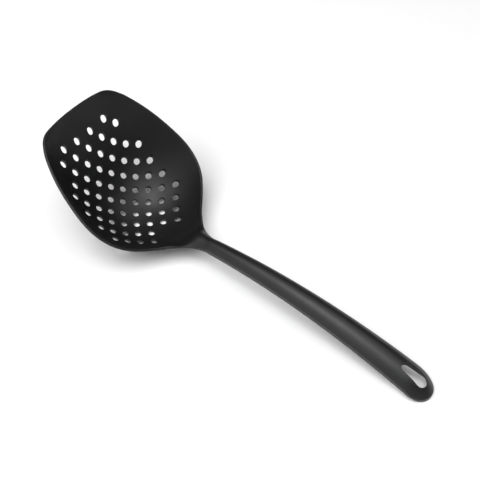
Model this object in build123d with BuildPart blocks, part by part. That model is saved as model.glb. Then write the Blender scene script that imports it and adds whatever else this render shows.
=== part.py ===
from build123d import *
import os
from math import cos, radians, sin, sqrt

os.makedirs("parts", exist_ok=True)

# A perforated serving scoop in black nylon, lying on a table as it is put down: on the
# bottom of its bowl and the tip of its handle. X runs from the bowl to the handle's tip,
# Z is up, and the XZ plane divides the scoop into two mirrored halves.
# The origin is on the table, halfway between the bowl's lip and the handle's tip.

# Reach of the bowl, its neck and the handle, measured along the table
bowl_reach = 98.5
neck_length = 41.5
handle_reach = 200.0
lip_x = -(bowl_reach + neck_length + handle_reach) / 2
neck_x = lip_x + bowl_reach
seam_x = neck_x + neck_length
tip_x = seam_x + handle_reach

# Bowl: its rim lies in one plane that slopes down from the lip to the handle
rim_slope = 34.5
bowl_width = 119.4
bowl_depth = 43.4
bowl_wall = 2.2
rim_round_share = 0.36
lip_corner = 19.0
neck_side = 1.8
neck_bar_shares = (0.33, 0.55)
neck_square_power = 8

# Drain holes: rows of holes across the bowl, each row set between the holes of the last
hole_diameter = 5.4
row_pitch = 7.62
hole_slope = 22.1
hole_field_along_share = 0.646
hole_field_drop_share = 1.0

# Handle: an arched D section that widens and thickens towards its tip
crest_share = 0.277
crest_height = 23.4
skirt_height = 3.6
neck_width = 12.7
end_width = 24.2
neck_crown = 6.1
end_crown = 8.0
crown_power = 2.4
dome_length = 14.0
crown_fall = 20.0
shell_wall = 2.2
fit = 0.2

# Tang: the flat shank of the bowl that runs inside the handle's shell
tang_length = 46.0
tang_width_share = 0.77
tang_rise_share = 0.35
pin_diameter = 3.4
pin_shares = (0.3, 0.75)

# Cover: the plate that closes the handle's underside, with pegs for the shell's sockets
cover_thickness = 2.2
cover_end = 34.0
peg_diameter = 3.0
socket_wall = 1.5
peg_shares = (0.34, 0.52, 0.7)
peg_length = 3.5

# Hanging hole: a drop shape with its wide end near the tip
eye_web = 5.2
eye_wide = 10.0
eye_narrow = 7.6
eye_length = 21.5
eye_from_tip = 6.1

# One overrun serves all cuts, and one overlap joins what is added in two steps
overrun = 5.0
overlap = 0.5

# The handle's underside is an arc that touches the table at the tip
crest_x = seam_x + crest_share * handle_reach
crest_run = tip_x - crest_x
under_radius = (crest_run**2 + crest_height**2) / (2 * crest_height)
arc_center_z = crest_height - under_radius
dome_x = tip_x - dome_length


def arc_level(x, rise):
    """Height at x of the arc that runs `rise` above the handle's underside."""
    return arc_center_z + sqrt((under_radius + rise) ** 2 - (x - crest_x) ** 2)


def taper(x, at_seam, at_end):
    """A size that changes evenly from the seam to the start of the domed tip."""
    share = (x - seam_x) / (dome_x - seam_x)
    return at_seam + (at_end - at_seam) * min(share, 1)


def handle_top(x, y, inset):
    """Height of the handle's crowned top at (x, y), drawn in by `inset`."""
    half_width = taper(x, neck_width, end_width) / 2 - inset
    crown = taper(x, neck_crown, end_crown) - inset
    fallen = max(x - tip_x + crown_fall, 0) / (crown_fall - inset)
    reach = sqrt((y / half_width) ** 2 + fallen**2)
    return arc_level(x, skirt_height) + crown * (1 - reach**crown_power)


def handle_plan(inset, start, stop):
    """The handle seen from above, drawn in by `inset`, from x = start to x = stop."""
    with BuildSketch(Plane.XY) as plan:
        with BuildLine():
            near = taper(start, neck_width, end_width) / 2 - inset
            far = end_width / 2 - inset
            Polyline((start, -near), (dome_x, -far), (dome_x, far), (start, near), close=True)
        make_face()
        with Locations((dome_x, 0)):
            Ellipse(dome_length - inset, end_width / 2 - inset)
        with Locations((start, 0)):
            Rectangle(stop - start, 2 * end_width, align=(Align.MIN, Align.CENTER), mode=Mode.INTERSECT)
    return plan.sketch


def arc_disc(rise):
    """The disc, seen from the side, whose top edge is the arc `rise` above the underside."""
    with BuildSketch(Plane.XZ) as disc:
        with Locations((crest_x, arc_center_z)):
            Circle(under_radius + rise)
    return disc.sketch


def handle_form(inset, start, stop, low, high=None):
    """The handle's form drawn in by `inset`, between the arcs `low` and `high` above its underside."""
    columns = 30
    rows = 6
    points = []
    for i in range(columns + 1):
        x = start - overlap + (tip_x + overrun - start + overlap) * i / columns
        edge = taper(x, neck_width, end_width) / 2 - inset / 2
        across = [edge * j / rows for j in range(-rows, rows + 1)]
        points.append([Vector(x, y, handle_top(x, y, inset)) for y in across])
    top = Face.make_surface_from_array_of_points(points, min_deg=3, max_deg=3)
    plan = handle_plan(inset, start, stop)
    height = crest_height + skirt_height + end_crown + overrun
    with BuildPart() as form:
        extrude(top, amount=height, dir=(0, 0, -1))
        extrude(plan, amount=2 * height, both=True, mode=Mode.INTERSECT)
        extrude(arc_disc(low), amount=end_width, both=True, mode=Mode.SUBTRACT)
        if high is not None:
            extrude(arc_disc(high), amount=end_width, both=True, mode=Mode.INTERSECT)
    return form.part


# The outer rim and the inside's keel, from the lip to the neck, in the rim's own plane.
# Shares: along by the bowl's length, out by its half width, drop by its depth.
rim_shares = (
    (0.039, 0.617),
    (0.075, 0.663),
    (0.124, 0.736),
    (0.179, 0.793),
    (0.294, 0.881),
    (0.413, 0.942),
    (0.536, 0.983),
    (0.662, 1.000),
    (0.786, 0.963),
    (0.903, 0.853),
    (1.000, 0.673),
)
keel_shares = (
    (0.012, -0.037),
    (0.089, 0.159),
    (0.171, 0.357),
    (0.251, 0.530),
    (0.327, 0.675),
    (0.402, 0.793),
    (0.473, 0.885),
    (0.544, 0.949),
    (0.612, 0.988),
    (0.679, 1.000),
    (0.742, 0.986),
    (0.804, 0.945),
    (0.864, 0.876),
    (0.922, 0.776),
    (0.977, 0.650),
    (1.029, 0.493),
)

# The same two lines run on through the neck. Shares: along and inward by the way from the
# line's last point to the handle, sag below the straight way by the neck's length.
neck_rim_shares = (
    (0.114, 0.193, 0.052),
    (0.231, 0.400, 0.092),
    (0.379, 0.612, 0.100),
    (0.554, 0.812, 0.086),
    (0.765, 0.948, 0.046),
)
neck_keel_shares = (
    (0.189, 0.000, 0.031),
    (0.389, 0.000, 0.039),
    (0.559, 0.000, 0.010),
    (0.691, 0.000, -0.105),
    (0.762, 0.000, -0.099),
    (0.842, 0.000, -0.063),
)
fullness_shares = (3.0, 2.9, 2.5, 2.8, 2.4)
bowl_length = bowl_reach / cos(radians(rim_slope))


def sloped_plane(slope, x, z):
    """A plane whose own X runs down from (x, z) towards the handle, with its Z out of the bowl."""
    run = cos(radians(slope))
    drop = sin(radians(slope))
    return Plane(origin=(x, 0, z), x_dir=(run, 0, -drop), z_dir=(drop, 0, run))


def in_plane(plane, along, out, drop):
    """A point of the bowl, given in shares of its length, half width and depth."""
    local = Vector(along * bowl_length, out * bowl_width / 2, -drop * bowl_depth)
    return plane.from_local_coords(local)


def through_neck(line, y, shares):
    """Lengthens a line of points through the neck and onto the handle's own top at `y`."""
    start = line[-1]
    stop = Vector(seam_x, y, handle_top(seam_x, y, 0))
    for along, inward, sag in shares:
        x = start.X + (stop.X - start.X) * along
        z = start.Z + (stop.Z - start.Z) * along - sag * neck_length
        line.append(Vector(x, start.Y + (stop.Y - start.Y) * inward, z))
    for x in (seam_x, seam_x + overrun / 2, seam_x + overrun):
        y_there = y * taper(x, neck_width, end_width) / neck_width
        line.append(Vector(x, y_there, handle_top(x, y_there, 0)))


def eased(share):
    """A share that starts and stops gently, held between nothing and the whole."""
    held = min(max(share, 0), 1)
    return held * held * (3 - 2 * held)


def fullness(share):
    """How boxy the rib at `share` of the way from the lip to the neck is."""
    spans = len(fullness_shares) - 1
    span = min(int(share * spans), spans - 1)
    before = fullness_shares[span]
    after = fullness_shares[span + 1]
    return before + (after - before) * eased(share * spans - span)


def rib(rim_point, keel_point, power):
    """Points of one rib, from the rim on the right through the keel to the rim on the left."""
    rim_local = rim_plane.to_local_coords(rim_point)
    keel_local = rim_plane.to_local_coords(keel_point)
    steps = 14
    points = []
    for j in range(-steps, steps + 1):
        share = sin(radians(90 * j / steps))
        along = keel_local.X + (rim_local.X - keel_local.X) * share**2
        rise = keel_local.Z + (rim_local.Z - keel_local.Z) * abs(share) ** power
        points.append(rim_plane.from_local_coords(Vector(along, abs(rim_local.Y) * share, rise)))
    return points


def into_bowl(ribs, k, j):
    """The direction square to the ribs' surface at point j of rib k, towards the bowl's inside."""
    along = ribs[min(k + 1, len(ribs) - 1)][j] - ribs[max(k - 1, 0)][j]
    across = ribs[k][min(j + 1, len(ribs[k]) - 1)] - ribs[k][max(j - 1, 0)]
    return along.cross(across).normalized()


def in_neck(x, start, stop):
    """From nothing at the share `start` of the neck's length to the whole at the share `stop`."""
    return eased(((x - neck_x) / neck_length - start) / (stop - start))


# The bowl rests on the table, so its lip stands as high as its keel's lowest point asks for
level_plane = sloped_plane(rim_slope, lip_x, 0)
level_keel = Spline(*[in_plane(level_plane, along, 0, drop) for along, drop in keel_shares])
samples = 200
lip_height = bowl_wall - min((level_keel @ (k / samples)).Z for k in range(samples + 1))
rim_plane = sloped_plane(rim_slope, lip_x, lip_height)

# Both lines end on the handle's own top, past the seam, so bowl and handle are flush there
rim_points = [in_plane(rim_plane, along, out, 0) for along, out in rim_shares]
keel_points = [in_plane(rim_plane, along, 0, drop) for along, drop in keel_shares]
through_neck(rim_points, neck_width / 2, neck_rim_shares)
through_neck(keel_points, 0, neck_keel_shares)
rim_line = Spline(*rim_points)
keel_line = Spline(*keel_points)
rib_count = 48
rib_shares = [k / rib_count for k in range(rib_count + 1)]

# The inside's edge stands in from the outer rim by one wall, square to the wall's slope there
trial_ribs = [rib(rim_line @ share, keel_line @ share, fullness(share)) for share in rib_shares]
ribs = []
for k in range(rib_count + 1):
    edge = trial_ribs[k][0]
    land = bowl_wall * (1 - in_neck(edge.X, *neck_bar_shares))
    edge = edge + into_bowl(trial_ribs, k, 0) * land
    ribs.append(rib(edge, keel_line @ rib_shares[k], fullness(rib_shares[k])))

# The outside lies one wall below the inside, and eases into the underside of the neck
outer_ribs = []
for k in range(rib_count + 1):
    outer_rib = []
    last = len(ribs[k]) - 1
    for j in range(last + 1):
        inner = ribs[k][j]
        outer = inner - into_bowl(ribs, k, j) * bowl_wall
        share = abs(sin(radians(90 * (2 * j / last - 1))))
        under = arc_level(inner.X, 0)
        side_height = neck_side + (skirt_height - neck_side) * in_neck(inner.X, neck_bar_shares[1], 1)
        side = ribs[k][0].Z - side_height
        neck_point = Vector(inner.X, inner.Y, under + (side - under) * share**neck_square_power)
        outer_rib.append(outer + (neck_point - outer) * in_neck(inner.X, *neck_bar_shares))
    outer_ribs.append(outer_rib)

bowl_inside = Face.make_surface_from_array_of_points(ribs, min_deg=3, max_deg=3)
bowl_outside = Face.make_surface_from_array_of_points(outer_ribs, min_deg=3, max_deg=3)

# Each row of drain holes is set between those of the last: its innermost and outermost places
hole_rows = (
    (1, 3),
    (0, 4),
    (1, 3),
    (0, 4),
    (1, 5),
    (0, 4),
    (1, 5),
    (0, 4),
    (1, 5),
    (0, 4),
    (1, 5),
    (0, 4),
    (1, 3),
    (2, 2),
)
hole_center = in_plane(rim_plane, hole_field_along_share, 0, hole_field_drop_share)
hole_plane = sloped_plane(hole_slope, hole_center.X, hole_center.Z)
hole_places = []
for row in range(len(hole_rows)):
    inner, outer = hole_rows[row]
    along = (row - (len(hole_rows) - 1) / 2) * row_pitch
    for step in range(-outer, outer + 1, 2):
        if abs(step) >= inner:
            hole_places.append((along, step * row_pitch))

tang_pins = [(seam_x + share * tang_length, 0) for share in pin_shares]
tang_width = (neck_width - 2 * shell_wall) * tang_width_share
tang_rise = skirt_height + (neck_crown - shell_wall) * tang_rise_share
with BuildPart() as tang:
    with BuildSketch(Plane.XY):
        with Locations((seam_x - overlap, 0)):
            Rectangle(tang_length + overlap, tang_width, align=(Align.MIN, Align.CENTER))
    extrude(amount=lip_height)
    extrude(arc_disc(tang_rise), amount=end_width, both=True, mode=Mode.INTERSECT)
    extrude(arc_disc(cover_thickness + fit), amount=end_width, both=True, mode=Mode.SUBTRACT)
    with BuildSketch(Plane.XY):
        with Locations(tang_pins):
            Circle(pin_diameter / 2 + fit)
    extrude(amount=lip_height, mode=Mode.SUBTRACT)

# The bowl with its neck and tang is one moulding
sides = [bowl_inside, bowl_outside]
for inner_edge in bowl_inside.edges():
    outer_edge = bowl_outside.edges().sort_by_distance(inner_edge @ 0.5)[0]
    sides.append(Face.make_surface_from_curves(inner_edge, outer_edge))
bowl = Solid(Shell(sides))
with BuildPart() as spoon_head:
    add(bowl)
    wall_edges = spoon_head.edges().filter_by(lambda edge: edge.length < 2 * bowl_wall)
    fillet(wall_edges.sort_by(Axis.X)[:2], radius=lip_corner)
    with BuildSketch(Plane.YZ.offset(seam_x)):
        Rectangle(bowl_width, 2 * lip_height)
    extrude(amount=2 * overrun, mode=Mode.SUBTRACT)
    rim_edges = spoon_head.edges().filter_by(lambda edge: edge.length > 2 * bowl_wall)
    rim_edges = rim_edges.filter_by_position(Axis.X, lip_x - overrun, seam_x - overlap)
    fillet(rim_edges, radius=rim_round_share * min(bowl_wall, neck_side))
    add(tang.part)
    with BuildSketch(hole_plane):
        with Locations(hole_places):
            Circle(hole_diameter / 2)
    extrude(amount=bowl_length / 2, both=True, mode=Mode.SUBTRACT)
spoon_head.part.label = "spoon_head"
export_step(spoon_head.part, "parts/spoon_head.step")

# Handle shell: an upturned channel, closed at its tip by a solid web round the hanging hole
cover_stop = tip_x - cover_end
pocket_start = cover_stop + shell_wall
peg_places = [(seam_x + share * handle_reach, 0) for share in peg_shares]
boss_diameter = peg_diameter + 2 * fit + 2 * socket_wall
eye_center = tip_x - eye_from_tip - eye_wide / 2
eye_point = tip_x - eye_from_tip - eye_length + eye_narrow / 2
with BuildSketch() as eye:
    with Locations((eye_center, 0)):
        Circle(eye_wide / 2)
    with Locations((eye_point, 0)):
        Circle(eye_narrow / 2)
    make_hull()

shell_form = handle_form(0, seam_x, tip_x, 0)
cavity = handle_form(shell_wall, seam_x, cover_stop, -overrun)
pocket = handle_form(shell_wall, pocket_start, tip_x, -overrun, skirt_height + end_crown - eye_web)
posts_at = [(x, y, pin_diameter) for x, y in tang_pins] + [(x, y, boss_diameter) for x, y in peg_places]
with BuildPart() as posts:
    for x, y, diameter in posts_at:
        with BuildSketch(Plane.XY):
            with Locations((x, y)):
                Circle(diameter / 2)
        extrude(amount=handle_top(x, y, shell_wall / 2))
    extrude(arc_disc(cover_thickness + fit), amount=end_width, both=True, mode=Mode.SUBTRACT)

with BuildPart() as handle_shell:
    add(shell_form)
    add(cavity, mode=Mode.SUBTRACT)
    add(pocket, mode=Mode.SUBTRACT)
    add(posts.part)
    extrude(eye.sketch, amount=lip_height, both=True, mode=Mode.SUBTRACT)
    for x, y in peg_places:
        with BuildSketch(Plane.XY):
            with Locations((x, y)):
                Circle(peg_diameter / 2 + fit)
        extrude(amount=arc_level(x, cover_thickness + peg_length + fit), mode=Mode.SUBTRACT)
handle_shell.part.label = "handle_shell"
export_step(handle_shell.part, "parts/handle_shell.step")

# Cover: a plate bent to the same arc, with a peg for each socket
plate = handle_plan(shell_wall + fit, seam_x, cover_stop - fit)
with BuildPart() as handle_cover:
    extrude(plate, amount=lip_height)
    extrude(arc_disc(cover_thickness), amount=end_width, both=True, mode=Mode.INTERSECT)
    extrude(arc_disc(0), amount=end_width, both=True, mode=Mode.SUBTRACT)
    for x, y in peg_places:
        with BuildSketch(Plane.XY.offset(arc_level(x, cover_thickness / 2))):
            with Locations((x, y)):
                Circle(peg_diameter / 2)
        extrude(amount=cover_thickness / 2 + peg_length)
handle_cover.part.label = "handle_cover"
export_step(handle_cover.part, "parts/handle_cover.step")
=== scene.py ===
import math
import bpy
from mathutils import Matrix, Vector

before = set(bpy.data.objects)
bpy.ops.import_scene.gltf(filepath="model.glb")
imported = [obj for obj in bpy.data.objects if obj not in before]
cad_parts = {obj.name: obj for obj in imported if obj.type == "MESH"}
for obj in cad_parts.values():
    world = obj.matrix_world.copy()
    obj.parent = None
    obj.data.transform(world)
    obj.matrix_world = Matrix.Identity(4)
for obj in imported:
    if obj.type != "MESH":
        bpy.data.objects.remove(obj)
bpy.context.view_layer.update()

# what a user would change about the picture
studio = {
    "cameraPlace": (0.2163, -0.2886, 0.5020),
    "cameraBack": (0.3783, -0.4994, 0.7794),  # from what it looks at, towards the camera
    "cameraRoll": -0.1,  # degrees
    "lens": 57.6,
    "sensorWidth": 36,
    "clip": (0.01, 20),
    "floorColour": 0.97,
    "floorRoughness": 0.85,
    "floorSpecular": 0.1,
    "floorSize": 8.0,
    "floorDrop": 0.0002,  # keeps the floor just clear of the part's own faces
    "whiteFrom": 0.45,  # metres from the object: the floor starts to turn to plain white
    "whiteBy": 0.85,
    "skyStrength": 0.04,
    "skySeen": 1.0,
}

# a large softbox over the near side, one above and behind the handle, a low one along the near side
lamps = {
    "key": {"place": (-0.15, -0.84, 1.68), "aim": (-0.03, 0.0, 0.02), "size": (1.6, 1.6), "power": 34.0},
    "top": {"place": (0.40, 0.18, 1.88), "aim": (0.02, 0.0, 0.0), "size": (1.8, 1.8), "power": 21.0},
    "fill": {"place": (-0.35, -1.70, 0.62), "aim": (0.0, 0.0, 0.03), "size": (1.5, 0.8), "power": 5.0},
}

bowlNylon = {
    "colour": (0.0042, 0.0043, 0.0044),
    "paleColour": (0.0062, 0.0063, 0.0065),
    "roughness": (0.44, 0.54),  # smoothest and roughest patches
    "specular": 0.38,
    "ior": 1.53,
    "mottleSize": 0.012,  # metres
    "mottleRange": (0.3, 0.7),  # of the noise, spread over the whole roughness
    "grainSize": 0.0006,  # metres, the moulded surface's fine orange peel
    "grainDepth": 0.00002,
    "grainStrength": 0.5,
}

# the handle is a little shinier than the bowl
handleNylon = dict(bowlNylon, specular=0.46, roughness=(0.42, 0.52))


def addNode(tree, kind, **values):
    node = tree.nodes.new(kind)
    for name, value in values.items():
        if hasattr(node, name):
            setattr(node, name, value)
        else:
            node.inputs[name.replace("_", " ")].default_value = value
    return node


def makeNylon(name, look):
    material = bpy.data.materials.new(name)
    material.use_nodes = True
    tree = material.node_tree
    shader = tree.nodes["Principled BSDF"]
    shader.inputs["Specular IOR Level"].default_value = look["specular"]
    shader.inputs["IOR"].default_value = look["ior"]
    place = tree.nodes.new("ShaderNodeTexCoord")

    # patches that are a little paler and rougher
    mottle = addNode(tree, "ShaderNodeTexNoise", Scale=1 / look["mottleSize"], Detail=3.0, Roughness=0.55)
    tree.links.new(place.outputs["Object"], mottle.inputs["Vector"])
    shade = addNode(tree, "ShaderNodeMix", data_type="RGBA")
    shade.inputs["A"].default_value = (*look["colour"], 1)
    shade.inputs["B"].default_value = (*look["paleColour"], 1)
    tree.links.new(mottle.outputs["Fac"], shade.inputs["Factor"])
    tree.links.new(shade.outputs["Result"], shader.inputs["Base Color"])

    gloss = tree.nodes.new("ShaderNodeMapRange")
    gloss.inputs["From Min"].default_value, gloss.inputs["From Max"].default_value = look["mottleRange"]
    gloss.inputs["To Min"].default_value, gloss.inputs["To Max"].default_value = look["roughness"]
    tree.links.new(mottle.outputs["Fac"], gloss.inputs["Value"])
    tree.links.new(gloss.outputs["Result"], shader.inputs["Roughness"])

    grain = addNode(tree, "ShaderNodeTexNoise", Scale=1 / look["grainSize"], Detail=2.0, Roughness=0.6)
    tree.links.new(place.outputs["Object"], grain.inputs["Vector"])
    bump = addNode(tree, "ShaderNodeBump", Strength=look["grainStrength"], Distance=look["grainDepth"])
    tree.links.new(grain.outputs["Fac"], bump.inputs["Height"])
    tree.links.new(bump.outputs["Normal"], shader.inputs["Normal"])
    return material


def dressNode(node, material):
    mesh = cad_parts[node].data
    mesh.materials.clear()
    mesh.materials.append(material)


def makeCamera():
    back = Vector(studio["cameraBack"]).normalized()
    right = Vector((0, 0, 1)).cross(back).normalized()
    up = back.cross(right)
    camera = bpy.data.objects.new("camera", bpy.data.cameras.new("camera"))
    bpy.context.collection.objects.link(camera)
    turn = Matrix((right, up, back)).transposed().to_4x4()
    turn = turn @ Matrix.Rotation(math.radians(studio["cameraRoll"]), 4, "Z")
    turn.translation = Vector(studio["cameraPlace"])
    camera.matrix_world = turn
    camera.data.lens = studio["lens"]
    camera.data.sensor_width = studio["sensorWidth"]
    camera.data.clip_start, camera.data.clip_end = studio["clip"]
    bpy.context.scene.camera = camera


def makeLamp(name, look):
    light = bpy.data.lights.new(name, "AREA")
    light.shape = "RECTANGLE"
    light.size, light.size_y = look["size"]
    light.energy = look["power"]
    lamp = bpy.data.objects.new(name, light)
    bpy.context.collection.objects.link(lamp)
    lamp.location = look["place"]
    way = Vector(look["aim"]) - Vector(look["place"])
    lamp.rotation_euler = way.to_track_quat("-Z", "Y").to_euler()
    lamp.visible_camera = False


# 1 for camera rays and the other kinds named, 0 for the rays that light the object
def seenRays(tree, kinds):
    path = tree.nodes.new("ShaderNodeLightPath")
    seen = path.outputs["Is Camera Ray"]
    for kind in kinds:
        either = addNode(tree, "ShaderNodeMath", operation="MAXIMUM")
        tree.links.new(seen, either.inputs[0])
        tree.links.new(path.outputs[kind], either.inputs[1])
        seen = either.outputs[0]
    return seen


def makeFloor():
    bpy.ops.object.select_all(action="DESELECT")
    bpy.ops.mesh.primitive_plane_add(size=studio["floorSize"], location=(0, 0, -studio["floorDrop"]))
    floor = bpy.context.object
    floor.name = "floor"
    bpy.ops.object.transform_apply(location=True, rotation=True, scale=True)
    material = bpy.data.materials.new("paleFloor")
    material.use_nodes = True
    tree = material.node_tree
    shader = tree.nodes["Principled BSDF"]
    shader.inputs["Base Color"].default_value = (*[studio["floorColour"]] * 3, 1)
    shader.inputs["Roughness"].default_value = studio["floorRoughness"]
    shader.inputs["Specular IOR Level"].default_value = studio["floorSpecular"]

    # white far from the object, where the lamps don't reach
    place = tree.nodes.new("ShaderNodeTexCoord")
    distance = addNode(tree, "ShaderNodeVectorMath", operation="LENGTH")
    tree.links.new(place.outputs["Object"], distance.inputs[0])
    ring = addNode(tree, "ShaderNodeMapRange", interpolation_type="SMOOTHSTEP")
    ring.inputs["From Min"].default_value = studio["whiteFrom"]
    ring.inputs["From Max"].default_value = studio["whiteBy"]
    tree.links.new(distance.outputs["Value"], ring.inputs["Value"])
    share = addNode(tree, "ShaderNodeMath", operation="MULTIPLY")
    tree.links.new(ring.outputs["Result"], share.inputs[0])
    tree.links.new(seenRays(tree, ["Is Glossy Ray", "Is Transmission Ray"]), share.inputs[1])
    white = addNode(tree, "ShaderNodeEmission", Strength=1.0)
    both = tree.nodes.new("ShaderNodeMixShader")
    tree.links.new(share.outputs[0], both.inputs[0])
    tree.links.new(shader.outputs[0], both.inputs[1])
    tree.links.new(white.outputs[0], both.inputs[2])
    tree.links.new(both.outputs[0], tree.nodes["Material Output"].inputs["Surface"])
    floor.data.materials.append(material)


def makeSky():
    world = bpy.data.worlds.new("studioSky")
    bpy.context.scene.world = world
    world.use_nodes = True
    tree = world.node_tree
    background = tree.nodes["Background"]
    background.inputs["Color"].default_value = (1, 1, 1, 1)
    choose = addNode(tree, "ShaderNodeMix", data_type="FLOAT")
    choose.inputs["A"].default_value = studio["skyStrength"]
    choose.inputs["B"].default_value = studio["skySeen"]
    tree.links.new(seenRays(tree, ["Is Transmission Ray"]), choose.inputs["Factor"])
    tree.links.new(choose.outputs["Result"], background.inputs["Strength"])


makeCamera()
makeFloor()
makeSky()
for lampName, lampLook in lamps.items():
    makeLamp(lampName, lampLook)
print("stage ready")

dressNode("spoon_head", makeNylon("bowlNylon", bowlNylon))
handleLook = makeNylon("handleNylon", handleNylon)
for nodeName in ("handle_shell", "handle_cover"):
    dressNode(nodeName, handleLook)
print("nodes dressed")

bpy.context.scene.view_settings.view_transform = "Standard"
